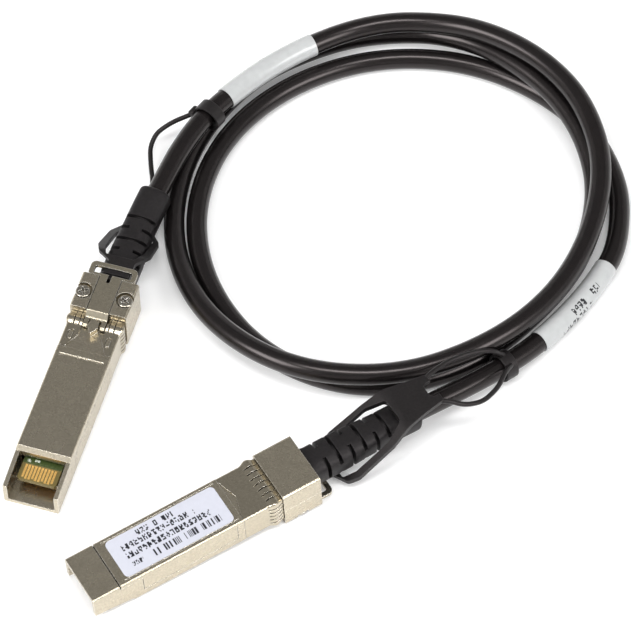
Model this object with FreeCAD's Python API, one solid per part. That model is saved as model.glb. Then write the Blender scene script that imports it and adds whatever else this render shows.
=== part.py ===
"""Direct attach copper cable: two identical plug heads on one coiled cable.

Millimetres, +Z up.  Each head is drawn in its own frame: x runs from the nose
back towards the cable, y across the head, z from the latch face (0) to the
label face.  Head a lies label side up, head b lies latch side up.
"""
import FreeCAD
import Part
import math
import os

V = FreeCAD.Vector

# ---- body of a plug head ----
BODY_WIDTH = 13.5
BODY_HEIGHT = 8.5
HEAD_LENGTH = 60.3
HALF = BODY_WIDTH / 2
AXIS_Z = BODY_HEIGHT / 2     # the cable leaves on the body's mid height
BEYOND = 3.0                 # cutters reach this far past the body
WALL = 1.15
NOSE_WALL = 1.0
PLATE = 1.1                  # cover plate and nose roof
FLOOR = 1.2                  # latch-side floor
ROOF = BODY_HEIGHT - PLATE
EDGE_ROUND = 0.5
FIT = 0.05                   # clearance between two metal pieces
NOSE_RISE = 2.1              # latch edge of the nose is cut back by this at its tip
NOSE_STEP = 0.95             # and by this, at a steep chamfer, where the latch panel ends
NOSE_OPEN_END = 9.7          # the latch panel starts here
NOSE_ROOF_END = 7.0
COVER_START = 7.3
END_WALL_HEIGHT = 2.5
SKIRT_START = 13.0
SKIRT_BOTTOM = 2.4
SKIRT_THICK = 0.5
SKIRT_GAP = 0.12
PRESS_LINE = 0.35            # depth and width of the pressed line across the latch panel

# ---- rear block ----
BLOCK_LENGTH = 10.0
BLOCK_START = HEAD_LENGTH - BLOCK_LENGTH
BLOCK_WIDTH = 14.2
BLOCK_LATCH_STEP = 2.08
BLOCK_LABEL_STEP = 0.96
BLOCK_SPLIT = AXIS_Z - 0.55
BLOCK_CAVITY_HALF = 5.4
REAR_WALL = 1.35
REAR_WALL_START = HEAD_LENGTH - REAR_WALL
SCREW_X = HEAD_LENGTH - 5.2
SCREW_Y = 5.3
SCREW_HEAD_R = 1.85
SCREW_HEAD_HEIGHT = 1.0
SCREW_SHANK_R = 0.8
SCREW_TIP = BODY_HEIGHT - 1.1
COUNTERBORE_R = 2.3
COUNTERBORE_FLOOR = -0.9

# ---- collar of ground fingers ----
COLLAR_START = BLOCK_START - 10.3
COLLAR_CHEVRON = 1.6
COLLAR_THICK = 0.2
COLLAR_RECESS = 0.25
FINGER_START = BLOCK_START - 3.8
FINGER_BULGE = 0.5
FINGER_SLOT = 0.35
FINGER_PITCH = 1.65
SKIRT_END = COLLAR_START - 2.0
LABEL_START = 9.5
LABEL_END = COLLAR_START - 1.6
LABEL_HALF = 5.4

# ---- latch slider, boss and spring ----
SLIDER_HALF = 2.7
CHANNEL_GAP = 0.2
WING_REACH = 0.2
SLIDER_OUT = -2.05
SLIDER_IN = -1.2
PRONG_START = BLOCK_START - 3.9
PRONG_WIDTH = 1.1
BED_HALF = SLIDER_HALF + CHANNEL_GAP
BED_START = BLOCK_START - 6.3
RAMP_START = BLOCK_START - 10.6
RAMP_HALF = 5.1
BOSS_TIP = BLOCK_START - 6.0
BOSS_SHOULDER = BLOCK_START - 4.2
BOSS_END = BLOCK_START - 1.95
BOSS_HALF = 1.3
BOSS_HEIGHT = 1.2
STUD_X = BLOCK_START - 6.8
STUD_Y = 4.75
STUD_LENGTH = 2.2
STUD_HALF = 0.45
BAIL_HALF = 5.85
BAIL_BAR = 1.2
BAIL_END = HEAD_LENGTH + 3.9
TRAVEL = 2.5
SPRING_START = BLOCK_START + 3.3
SPRING_END = BLOCK_START + 8.1
SPRING_MEAN_R = 0.39
SPRING_WIRE_R = 0.1
SPRING_TURNS = 8
SPRING_Z = -0.6

# ---- paddle card ----
CARD_START = 4.0
CARD_END = COLLAR_START - 4.0
CARD_WIDTH = 9.6
CARD_THICK = 1.0
CARD_LOW = AXIS_Z - 0.55
CARD_TOP = CARD_LOW + CARD_THICK
PAD_COUNT = 10
PAD_PITCH = 0.8
PAD_WIDTH = 0.55
PAD_LENGTH = 3.9
PAD_THICK = 0.06
CHIP_SIDE = 4.0
CHIP_START = (CARD_START + CARD_END) / 2 - 3.0

# ---- cable, cores and boot ----
CABLE_R = 2.6
CABLE_START = BLOCK_START + 1.1    # the jacket begins here inside each block
CORE_R = 0.65
CLAMP_START = CARD_END + 2.6
CLAMP_LENGTH = 5.8
CLAMP_HALF = 5.0
FERRULE_WALL = 0.5
FERRULE_RING = 0.3
BLOCK_CAVITY_LOW = AXIS_Z - CABLE_R - FERRULE_WALL - FERRULE_RING - FIT
BLOCK_CAVITY_HIGH = AXIS_Z + CABLE_R + FERRULE_WALL + FERRULE_RING + FIT
FERRULE_START = CABLE_START - 0.2
FERRULE_LENGTH = 4.4
WEB_START = CABLE_START + 0.5
BOOT_WIDTH = 9.0
BOOT_HEIGHT = 7.0
BOOT_TIP = 6.5
BOOT_LENGTH = 28.8
BOOT_FLANGE_WIDTH = 10.4
BOOT_FLANGE_START = REAR_WALL_START - 1.1
BOOT_CORNER = 1.6
BOOT_SLOT = 0.9
BOOT_PITCH = 3.4
SLEEVE_WALL = 0.25
SLEEVE_LENGTH = 28.0
SLEEVE_B_START = 71.0        # along the cable from the jacket's cut end
SLEEVE_A_START = 84.0

# ---- pull tab, placed from the head's rear ----
TAB_THICK = 1.2
TAB_LOW = -0.55
TAB_HIGH = AXIS_Z + CABLE_R + 2.1
TAB_START = HEAD_LENGTH + 0.25
TAB_END = HEAD_LENGTH + 35.7
TONGUE_HALF = 3.2
TONGUE_SET = 0.8
# Each tab: rise's end, ring's outer and inner edges on its -y and +y sides, the tail's
# sideways set, its half widths behind the ring, further back and at its end, and the
# half notch.
TAB_A = (24.9, (7.3, 7.1), (5.55, 5.5), 0.1, (5.9, 4.9, 4.1), 2.1)
TAB_B = (22.9, (6.85, 6.5), (4.95, 4.85), -1.1, (3.1, 2.2, 1.3), 0.0)
BAND_GAP_A = 0.55
BAND_GAP_B = 0.65
BAND_WALL = 0.5
BAND_WIDTH = 3.2
BAND_AT = 64.0               # along the cable from the jacket's cut end
BAND_SET_B = 0.38            # the loop sits off centre so that it can travel
LOOP_R = 0.6
# Loop cords as (distance behind the head, y, height over the cable's axis); the last
# end joins the band.
LOOP_A = [[(34.4, -3.2, 4.65), (36.8, -4.5, 4.1), (40.0, -6.4, 2.2), (44.6, -7.0, 0.6), (50.0, -5.0, -0.5),
           (54.0, -2.0, -0.8)],
          [(34.4, 3.4, 4.65), (38.2, 4.5, 4.5), (42.7, 5.4, 3.6), (48.1, 5.1, 2.8), (53.1, 3.5, 2.4)]]
LOOP_B = [[(32.7, -1.4, 4.65), (37.3, -2.0, 4.55), (41.9, -4.1, 3.95), (46.5, -5.7, 3.05), (50.1, -5.2, 1.75),
           (52.7, -1.9, -0.65)],
          [(32.7, 0.2, 4.65), (36.9, -0.5, 4.35), (41.5, -0.9, 2.95), (46.7, 0.0, 1.15), (51.5, 2.2, 0.15)]]
KNOB_A = (-0.97, 0.22)       # direction of the knob from the cable, (y, z)
KNOB_B = (-1.0, 0.0)
KNOB_R = 1.0
KNOB_LENGTH = 2.6

# ---- where the two heads lie (x, y of the rear, heading of the head's +x) ----
SHIFT = V(12.13, 13.68, 0.0)
REAR_A = V(-2.013, -48.343, 0.0) + SHIFT
REAR_B = V(-49.072, 2.957, 0.0) + SHIFT
HEADING_A = 31.0
HEADING_B = 73.3
NOSE_A = REAR_A - V(math.cos(math.radians(HEADING_A)), math.sin(math.radians(HEADING_A)), 0) * HEAD_LENGTH
NOSE_B = REAR_B - V(math.cos(math.radians(HEADING_B)), math.sin(math.radians(HEADING_B)), 0) * HEAD_LENGTH
REST_X_A = 9.0               # head a rests here and on its block's front edge
PITCH_A = math.degrees(math.atan(BLOCK_LATCH_STEP / (BLOCK_START - REST_X_A)))
PITCH_B = math.degrees(math.atan(BLOCK_LABEL_STEP / BLOCK_START))

# ---- the cable's route between the heads ----
COIL_CENTRE = V(19.0, 27.0, 0.0) + SHIFT


def box(x0, x1, y0, y1, z0, z1):
    return Part.makeBox(x1 - x0, y1 - y0, z1 - z0, V(x0, y0, z0))


def both_sides(x0, x1, y0, y1, z0, z1):
    return box(x0, x1, y0, y1, z0, z1).fuse(box(x0, x1, -y1, -y0, z0, z1))


def rod(x, y, z0, z1, radius):
    return Part.makeCylinder(radius, z1 - z0, V(x, y, z0))


def rounded_path(points, radii, closed=False):
    """Straight runs joined by tangent arcs through a row of corner points."""
    count = len(points)
    starts = list(points)
    ends = list(points)
    arcs = [None] * count
    for i in range(count):
        if not closed and i in (0, count - 1):
            continue
        corner = points[i]
        back = (points[i - 1] - corner).normalize()
        ahead = (points[(i + 1) % count] - corner).normalize()
        half = back.getAngle(ahead) / 2
        radius = radii[i]
        reach = radius / math.tan(half)
        inward = (back + ahead).normalize()
        starts[i] = corner + back * reach
        ends[i] = corner + ahead * reach
        middle = corner + inward * (radius / math.sin(half) - radius)
        arcs[i] = Part.Arc(starts[i], middle, ends[i]).toShape()
    edges = []
    for i in range(count if closed else count - 1):
        following = (i + 1) % count
        if (starts[following] - ends[i]).Length > 1e-6:
            edges.append(Part.LineSegment(ends[i], starts[following]).toShape())
        if arcs[following] is not None:
            edges.append(arcs[following])
    return edges


def plan_shape(outline, z0, z1):
    """Upright prism from (x, y, corner radius) rows."""
    points = [V(x, y, z0) for x, y, r in outline]
    edges = rounded_path(points, [r for x, y, r in outline], closed=True)
    return Part.Face(Part.Wire(edges)).extrude(V(0, 0, z1 - z0))


def side_shape(outline, y0, y1):
    """Prism across the head from (x, z, corner radius) rows."""
    points = [V(x, y0, z) for x, z, r in outline]
    edges = rounded_path(points, [r for x, z, r in outline], closed=True)
    return Part.Face(Part.Wire(edges)).extrude(V(0, y1 - y0, 0))


def flat_polygon(rows, z0, z1):
    corners = [V(x, y, z0) for x, y in rows]
    return Part.Face(Part.makePolygon(corners + corners[:1])).extrude(V(0, 0, z1 - z0))


def section_wire(x, half_width, z0, z1, radius):
    """Rounded rectangle across the head at x."""
    corners = [V(x, -half_width, z0), V(x, half_width, z0), V(x, half_width, z1), V(x, -half_width, z1)]
    return Part.Wire(rounded_path(corners, [radius] * 4, closed=True))


def bar(x0, x1, half_width, z0, z1, radius):
    return Part.Face(section_wire(x0, half_width, z0, z1, radius)).extrude(V(x1 - x0, 0, 0))


# ---------------------------------------------------------------- head frame


def place_a(shape):
    turned = shape.copy()
    turned.rotate(V(0, 0, 0), V(0, 1, 0), -PITCH_A)
    turned.rotate(V(0, 0, 0), V(0, 0, 1), HEADING_A)
    turned.translate(NOSE_A + V(0, 0, -REST_X_A * math.sin(math.radians(PITCH_A))))
    return turned


def place_b(shape):
    turned = shape.copy()
    turned.rotate(V(0, 0, 0), V(1, 0, 0), 180)
    turned.translate(V(0, 0, BODY_HEIGHT))
    turned.rotate(V(0, 0, 0), V(0, 1, 0), -PITCH_B)
    turned.rotate(V(0, 0, 0), V(0, 0, 1), HEADING_B)
    turned.translate(NOSE_B)
    return turned


def place_point(place, x, y, z):
    return place(Part.Vertex(V(x, y, z))).Point


# ------------------------------------------------------------- metal housing


def body_bar(x0, x1, inset=0.0):
    return bar(x0, x1, HALF - inset, inset, BODY_HEIGHT - inset, EDGE_ROUND)


def block_bar():
    high = BODY_HEIGHT + BLOCK_LABEL_STEP
    return bar(BLOCK_START, HEAD_LENGTH, BLOCK_WIDTH / 2, -BLOCK_LATCH_STEP, high, 0.7)


def collar_recess():
    far = HALF + BEYOND
    zone = box(COLLAR_START - 0.1, BLOCK_START, -far, far, -1, BODY_HEIGHT + BEYOND)
    return zone.cut(body_bar(COLLAR_START - 0.2, BLOCK_START, COLLAR_RECESS))


def block_cavity():
    """Room for the ferrule and the boot's root; the screw columns stay."""
    half = BLOCK_CAVITY_HALF
    room = box(BLOCK_START - 0.2, REAR_WALL_START, -half, half, BLOCK_CAVITY_LOW, BLOCK_CAVITY_HIGH)
    for side in (-1, 1):
        room = room.cut(rod(SCREW_X, side * SCREW_Y, 0, BODY_HEIGHT + 1, SCREW_SHANK_R + 0.8))
    half = BOOT_WIDTH / 2 + FIT
    low = AXIS_Z - BOOT_HEIGHT / 2 - FIT
    high = low + BOOT_HEIGHT + 2 * FIT
    mouth = bar(REAR_WALL_START - 0.1, HEAD_LENGTH + 1, half, low, high, BOOT_CORNER)
    hole = Part.makeCylinder(CABLE_R + FERRULE_WALL + FIT, 1.0, V(WEB_START, 0, AXIS_Z), V(1, 0, 0))
    web = box(WEB_START, WEB_START + 1, -half, half, BLOCK_CAVITY_LOW, BLOCK_CAVITY_HIGH).cut(hole)
    return room.fuse(mouth).cut(web)


def slider_channel():
    """Channel through the block, bed in front of it and the ramp that widens forward."""
    channel = box(BLOCK_START - 0.1, HEAD_LENGTH + 0.1, -BED_HALF, BED_HALF, -BEYOND, 0)
    wing_room = SLIDER_HALF + WING_REACH + CHANNEL_GAP
    wing_end = BLOCK_START + 2.3 + TRAVEL + FIT
    undercut = box(BLOCK_START - 0.1, wing_end, -wing_room, wing_room, -1.75, -1.1)
    bed = box(BED_START - 0.02, BLOCK_START + 0.1, -BED_HALF, BED_HALF, -BEYOND, 0.5)
    rows = [(RAMP_START, -RAMP_HALF), (BED_START, -BED_HALF), (BED_START, BED_HALF), (RAMP_START, RAMP_HALF)]
    slope = side_shape([(RAMP_START - 0.1, -2, 0.01), (BED_START + 0.1, -2, 0.01), (BED_START + 0.1, 0.5, 0.01),
                        (RAMP_START - 0.1, 0.0, 0.01)], -RAMP_HALF - 1, RAMP_HALF + 1)
    return channel.fuse([undercut, bed, flat_polygon(rows, -1, 0.5).common(slope)])


def latch_boss():
    rows = [(BOSS_TIP, 0.0, 0.15), (BOSS_SHOULDER, -BOSS_HALF, 0.2), (BOSS_END, -BOSS_HALF + 0.3, 0.2),
            (BOSS_END, BOSS_HALF - 0.3, 0.2), (BOSS_SHOULDER, BOSS_HALF, 0.2)]
    return plan_shape(rows, -BOSS_HEIGHT, 0.8)


def oval(x, y, length, half, z0, z1):
    """Upright prism with round ends, lying along the head."""
    span = length / 2 - half
    middle = box(x - span, x + span, y - half, y + half, z0, z1)
    return middle.fuse([rod(x - span, y, z0, z1, half), rod(x + span, y, z0, z1, half)])


def press_line():
    """Groove pressed across the latch panel just in front of the collar."""
    x = COLLAR_START - 2.6
    rows = [(x, -0.05), (x, PRESS_LINE), (x + 0.15, PRESS_LINE), (x + 0.15 + PRESS_LINE + 0.05, -0.05)]
    corners = [V(px, -HALF + 1.2, pz) for px, pz in rows]
    return Part.Face(Part.makePolygon(corners + corners[:1])).extrude(V(0, BODY_WIDTH - 2.4, 0))


def base_shell():
    shell = body_bar(0, BLOCK_START)
    far = HALF + BEYOND
    top = BODY_HEIGHT + BEYOND
    step_end = NOSE_OPEN_END + NOSE_STEP + 1
    nose_cut = side_shape([(-1, -1, 0.1), (step_end, -1, 0.1), (NOSE_OPEN_END, NOSE_STEP, 0.1),
                           (0, NOSE_RISE, 0.1), (-1, NOSE_RISE, 0.1)], -far, far)
    inner = HALF - NOSE_WALL
    cavity = HALF - WALL
    nose_room = box(-1, NOSE_OPEN_END, -inner, inner, -1, ROOF)
    body_room = box(NOSE_OPEN_END + 1, BLOCK_START + 0.1, -cavity, cavity, FLOOR, BODY_HEIGHT)
    over_wall = box(NOSE_OPEN_END - 0.1, NOSE_OPEN_END + 1.1, -cavity, cavity, END_WALL_HEIGHT, BODY_HEIGHT)
    lid_space = box(NOSE_ROOF_END, BLOCK_START + 0.1, -far, far, ROOF, top)
    skirts = both_sides(SKIRT_START - SKIRT_GAP, SKIRT_END + SKIRT_GAP, HALF - SKIRT_THICK - FIT, far,
                        SKIRT_BOTTOM - SKIRT_GAP, top)
    shell = shell.cut([nose_cut, nose_room, body_room, over_wall, lid_space, skirts, collar_recess()])
    ledge = box(NOSE_ROOF_END - 1, NOSE_ROOF_END + 1.4, -inner, inner, ROOF - 0.7, ROOF)
    rail_inner = CARD_WIDTH / 2 - 0.6
    rails = both_sides(NOSE_OPEN_END + 0.5, CARD_END, rail_inner, cavity, FLOOR / 2, CARD_LOW)
    upper_half = box(BLOCK_START - 1, HEAD_LENGTH + 1, -far, far, BLOCK_SPLIT, top)
    block = block_bar().cut([upper_half, block_cavity()])
    shell = shell.fuse([ledge, rails, block])
    stop = box(SPRING_END, SPRING_END + 0.6, -0.7, 0.7, -1.1, 0.2)
    shell = shell.cut([slider_channel(), press_line()]).fuse([latch_boss(), stop])
    for side in (-1, 1):
        sink = rod(SCREW_X, side * SCREW_Y, -BEYOND, COUNTERBORE_FLOOR, COUNTERBORE_R)
        hole = rod(SCREW_X, side * SCREW_Y, -BEYOND, BLOCK_SPLIT + 0.1, SCREW_SHANK_R + FIT)
        stud = oval(STUD_X, side * STUD_Y, STUD_LENGTH, STUD_HALF, 0.0, COLLAR_RECESS + 0.1)
        shell = shell.cut([sink, hole]).fuse(stud)
    return shell.removeSplitter()


def top_cover():
    far = HALF + BEYOND
    top = BODY_HEIGHT + BEYOND
    plate = body_bar(COVER_START, BLOCK_START).common(box(0, HEAD_LENGTH, -far, far, ROOF, top))
    skirt_zone = both_sides(SKIRT_START, SKIRT_END, HALF - SKIRT_THICK, far, SKIRT_BOTTOM, ROOF + 0.1)
    plate = plate.fuse(body_bar(SKIRT_START, SKIRT_END).common(skirt_zone))
    groove = LABEL_HALF + 0.15
    grooves = both_sides(LABEL_START - 0.5, LABEL_END + 0.6, groove, groove + 0.25, BODY_HEIGHT - 0.2, top)
    plate = plate.cut([collar_recess(), grooves])
    rib_inner = CARD_WIDTH / 2 - 0.6
    ribs = both_sides(14.0, CARD_END - 2.0, rib_inner, rib_inner + 0.55, CARD_TOP + FIT, ROOF + 0.1)
    lower_half = box(BLOCK_START - 1, HEAD_LENGTH + 1, -far, far, -BEYOND, BLOCK_SPLIT)
    block = block_bar().cut([lower_half, block_cavity()])
    cover = plate.fuse([ribs, block])
    for side in (-1, 1):
        hole = rod(SCREW_X, side * SCREW_Y, BLOCK_SPLIT - 0.5, SCREW_TIP + 0.2, SCREW_SHANK_R + FIT)
        cover = cover.cut(hole)
    return cover.removeSplitter()


def screw(side):
    """Round head with a cross recess, over a plain shank."""
    low = COUNTERBORE_FLOOR - SCREW_HEAD_HEIGHT
    y = side * SCREW_Y
    head = Part.makeCylinder(SCREW_HEAD_R, SCREW_HEAD_HEIGHT, V(SCREW_X, y, low))
    head = head.makeFillet(0.35, [head.Edges[2]])
    shank = rod(SCREW_X, y, COUNTERBORE_FLOOR - 0.1, SCREW_TIP, SCREW_SHANK_R)
    reach = 0.62 * SCREW_HEAD_R
    slots = [box(SCREW_X - reach, SCREW_X + reach, y - 0.22, y + 0.22, low - 0.1, low + 0.55),
             box(SCREW_X - 0.22, SCREW_X + 0.22, y - reach, y + reach, low - 0.1, low + 0.55)]
    for slot in slots:
        slot.rotate(V(SCREW_X, y, 0), V(0, 0, 1), 30 * side)
    return head.fuse(shank).cut(slots)


def cover_screws():
    return Part.makeCompound([screw(-1), screw(1)])


def finger_skin(grow):
    """Skin of the collar's spring fingers: out, over the bulge and back in."""
    wires = []
    stations = [(FINGER_START - 0.3, 0.0), (BLOCK_START - 3.1, 0.3), (BLOCK_START - 2.2, FINGER_BULGE),
                (BLOCK_START - 1.2, 0.3), (BLOCK_START - 0.4, 0.04), (BLOCK_START - 0.1, 0.02)]
    for x, lift in stations:
        half = HALF - COLLAR_RECESS + grow + lift
        low = COLLAR_RECESS - grow - lift
        wires.append(section_wire(x, half, low, BODY_HEIGHT - low, 0.45))
    return Part.makeLoft(wires, True, False)


def emi_collar():
    outer = body_bar(COLLAR_START, FINGER_START - 0.3, COLLAR_RECESS - COLLAR_THICK)
    inner = body_bar(COLLAR_START - 1, FINGER_START, COLLAR_RECESS)
    collar = outer.cut(inner)
    fingers = finger_skin(COLLAR_THICK).cut(finger_skin(0.02))
    far = HALF + BEYOND
    end = BLOCK_START + 0.7
    cut = FINGER_SLOT / 2
    slots = []
    for i in range(7):
        y = (i - 3) * FINGER_PITCH
        slots.append(box(FINGER_START, end, y - cut, y + cut, ROOF, BODY_HEIGHT + 1.5))
    for i in range(5):
        z = AXIS_Z + (i - 2) * 1.45
        slots.append(box(FINGER_START, end, -far, far, z - cut, z + cut))
    for y in (SLIDER_HALF + 1.0, SLIDER_HALF + 2.35):
        slots.append(both_sides(FINGER_START, end, y - cut, y + cut, -2, FLOOR))
    collar = collar.fuse(fingers).cut(slots)
    gap = BED_HALF + 0.1
    start = RAMP_START - 0.1
    slider_gap = flat_polygon([(start - 1, -RAMP_HALF - 0.2), (start, -RAMP_HALF - 0.1), (BED_START, -gap),
                               (end, -gap), (end, gap), (BED_START, gap), (start, RAMP_HALF + 0.1),
                               (start - 1, RAMP_HALF + 0.2)], -2, 1.5)
    windows = [oval(STUD_X, side * STUD_Y, STUD_LENGTH + 0.9, STUD_HALF + 0.3, -1, FLOOR) for side in (-1, 1)]
    half = HALF - 1.2
    tip = COLLAR_START + COLLAR_CHEVRON
    chevron = flat_polygon([(start - 1, -half), (COLLAR_START, -half), (tip, 0), (COLLAR_START, half),
                            (start - 1, half)], ROOF - 0.4, BODY_HEIGHT + 1.5)
    return collar.cut([slider_gap, chevron] + windows).removeSplitter()


def latch_slider():
    step = BLOCK_START + 0.2
    plate = box(step, HEAD_LENGTH + 0.2, -SLIDER_HALF, SLIDER_HALF, SLIDER_OUT, SLIDER_IN)
    wing_half = SLIDER_HALF + WING_REACH
    wings = box(step + 0.1, step + 2.1, -wing_half, wing_half, -1.7, SLIDER_IN)
    profile = [(PRONG_START, -0.08, 0.02), (PRONG_START, -0.3, 0.05), (PRONG_START + 0.6, -0.6, 0.3),
               (step - 1.5, -0.6, 0.6), (step - 0.3, SLIDER_OUT, 0.4), (step + 0.9, SLIDER_OUT, 0.01),
               (step + 0.9, SLIDER_IN, 0.01), (step + 0.2, SLIDER_IN, 0.3), (step - 0.7, -0.08, 0.3)]
    ramp = side_shape(profile, -SLIDER_HALF, SLIDER_HALF)
    prong_inner = SLIDER_HALF - PRONG_WIDTH
    between = box(PRONG_START - 1, BOSS_END + 0.25, -prong_inner, prong_inner, -BEYOND, 0.5)
    tang = box(SPRING_START - 0.4, SPRING_START, -0.7, 0.7, SLIDER_IN - 0.1, -0.1)
    rear = HEAD_LENGTH + 0.1
    frame_rows = [(rear, -BAIL_HALF, 0.5), (BAIL_END, -BAIL_HALF, 1.3), (BAIL_END, BAIL_HALF, 1.3),
                  (rear, BAIL_HALF, 0.5)]
    window_half = BAIL_HALF - BAIL_BAR
    window_end = BAIL_END - BAIL_BAR
    window_rows = [(rear + 0.6, -window_half, 0.3), (window_end, -window_half, 0.5),
                   (window_end, window_half, 0.5), (rear + 0.6, window_half, 0.3)]
    frame = plan_shape(frame_rows, SLIDER_OUT, SLIDER_IN).cut(plan_shape(window_rows, -BEYOND, 0))
    notch_end = HEAD_LENGTH - 1.3
    notch = box(notch_end, rear + 0.8, -0.8, 0.1, -BEYOND, 0).fuse(rod(notch_end, -0.35, -BEYOND, 0, 0.45))
    return plate.fuse([wings, ramp.cut(between), tang, frame]).cut(notch).removeSplitter()


def latch_spring():
    length = SPRING_END - SPRING_START - 2 * SPRING_WIRE_R - 2 * FIT
    helix = Part.makeHelix(length / SPRING_TURNS, length, SPRING_MEAN_R)
    start = V(SPRING_MEAN_R, 0, 0)
    wire = Part.Wire(Part.makeCircle(SPRING_WIRE_R, start, V(0, 1, 0)))
    coil = Part.Wire(helix.Edges).makePipeShell([wire], True, True)
    coil.rotate(V(0, 0, 0), V(0, 1, 0), 90)
    coil.translate(V(SPRING_START + SPRING_WIRE_R + FIT, 0, SPRING_Z))
    return coil


def head_label():
    rows = [(LABEL_START, -LABEL_HALF, 1.2), (LABEL_END, -LABEL_HALF, 1.2), (LABEL_END, LABEL_HALF, 1.2),
            (LABEL_START, LABEL_HALF, 1.2)]
    return plan_shape(rows, BODY_HEIGHT, BODY_HEIGHT + 0.1)


# ------------------------------------------------------------ card and cores


def paddle_card():
    half = CARD_WIDTH / 2
    rows = [(CARD_START, -half + 0.4, 0.1), (CARD_START + 0.4, -half, 0.1), (CARD_END, -half, 0.3),
            (CARD_END, half, 0.3), (CARD_START + 0.4, half, 0.1), (CARD_START, half - 0.4, 0.1)]
    return plan_shape(rows, CARD_LOW, CARD_TOP)


def contact_pads():
    """Ten plated fingers on each face; every third starts a little further back."""
    pads = []
    for i in range(PAD_COUNT):
        y = (i - (PAD_COUNT - 1) / 2) * PAD_PITCH
        x0 = CARD_START + (0.25 if i % 3 else 0.6)
        x1 = CARD_START + 0.25 + PAD_LENGTH
        pads.append(box(x0, x1, y - PAD_WIDTH / 2, y + PAD_WIDTH / 2, CARD_LOW - PAD_THICK, CARD_LOW))
        pads.append(box(x0, x1, y - PAD_WIDTH / 2, y + PAD_WIDTH / 2, CARD_TOP, CARD_TOP + PAD_THICK))
    return Part.makeCompound(pads)


def board_parts():
    """A memory chip with leads and a row of small capacitors on the card."""
    chip_end = CHIP_START + CHIP_SIDE
    pieces = [box(CHIP_START, chip_end, -CHIP_SIDE / 2, CHIP_SIDE / 2, CARD_TOP + 0.1, CARD_TOP + 1.3)]
    for i in range(4):
        y = (i - 1.5) * 0.9
        pieces.append(box(CHIP_START - 0.8, CHIP_START, y - 0.15, y + 0.15, CARD_TOP, CARD_TOP + 0.35))
        pieces.append(box(chip_end, chip_end + 0.8, y - 0.15, y + 0.15, CARD_TOP, CARD_TOP + 0.35))
    for x in (CHIP_START - 4.0, chip_end + 3.5):
        for i in range(4):
            y = (i - 1.5) * 1.8
            pieces.append(box(x, x + 1.2, y - 0.3, y + 0.3, CARD_TOP, CARD_TOP + 0.5))
            pieces.append(box(x, x + 1.2, y - 0.3, y + 0.3, CARD_LOW - 0.5, CARD_LOW))
    return Part.makeCompound(pieces)


def core_ends():
    """Start on the card and end at the jacket, for each of the four cores."""
    rows = []
    spread = CARD_WIDTH / 4
    lift = CARD_THICK / 2 + CORE_R
    for side in (-1, 1):
        for face in (-1, 1):
            start = V(CARD_END - 5.0, side * spread, CARD_LOW + CARD_THICK / 2 + face * lift)
            end = V(CABLE_START, side * 0.95, AXIS_Z + face * 0.95)
            rows.append((face, start, end))
    return rows


def wire_cores():
    cores = []
    half = CARD_WIDTH / 2 + 1
    for face, start, end in core_ends():
        run = end - start
        sleeve = Part.makeCylinder(CORE_R - 0.02, run.Length, start, run)
        surface = CARD_TOP if face > 0 else CARD_LOW
        low, high = sorted((surface, surface + face * 3.5))
        on_card = box(start.x - 3, CARD_END + 0.2, -half, half, low, high)
        behind = box(CARD_END + 0.2, CABLE_START, -half, half, 0, BODY_HEIGHT)
        sleeve = sleeve.common(on_card.fuse(behind))
        tip = Part.makeCylinder(0.22, 2.2, V(start.x - 2.0, start.y, surface + face * 0.22), V(1, 0, 0))
        low, high = sorted((surface, surface + face * 0.7))
        joint = box(start.x - 0.1, start.x + 0.3, start.y - 0.3, start.y + 0.3, low, high)
        cores.append(sleeve.fuse([tip, joint]))
    return Part.makeCompound(cores)


def core_clamp():
    """Moulded block that grips the four cores behind the card."""
    end = CLAMP_START + CLAMP_LENGTH
    body = bar(CLAMP_START, end, CLAMP_HALF, FLOOR + FIT, ROOF - 0.1, 0.6)
    notches = both_sides(CLAMP_START, CLAMP_START + 1.4, 2.6, 3.4, ROOF - 1.0, BODY_HEIGHT)
    body = body.cut(notches)
    for face, start, end in core_ends():
        run = end - start
        body = body.cut(Part.makeCylinder(CORE_R - 0.02, run.Length, start, run))
    return body


def crimp_ferrule():
    outer = CABLE_R + FERRULE_WALL
    axis = V(1, 0, 0)
    ring = Part.makeCylinder(outer, FERRULE_LENGTH, V(FERRULE_START, 0, AXIS_Z), axis)
    for x in (FERRULE_START, FERRULE_START + 1.8):
        ring = ring.fuse(Part.makeCylinder(outer + FERRULE_RING, 0.6, V(x, 0, AXIS_Z), axis))
    bore = Part.makeCylinder(CABLE_R, FERRULE_LENGTH, V(FERRULE_START, 0, AXIS_Z), axis)
    return ring.cut(bore).removeSplitter()


# ------------------------------------------------------- cable and its route

# Each row is (y, x, height of the axis) on the way from head b and into head a.
LEAD_B = [(14.0, -45.6, 5.6), (24.0, -42.1, 6.6), (34.0, -37.8, 7.9), (45.0, -32.8, 9.0), (56.5, -25.6, 9.3)]
LEAD_A = [(8.2, 68.7, 3.0), (-2.2, 61.0, 3.1), (-12.4, 51.6, 3.4), (-22.1, 39.0, 4.7), (-32.6, 23.0, 6.6),
          (-40.7, 10.5, 7.3)]
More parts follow.
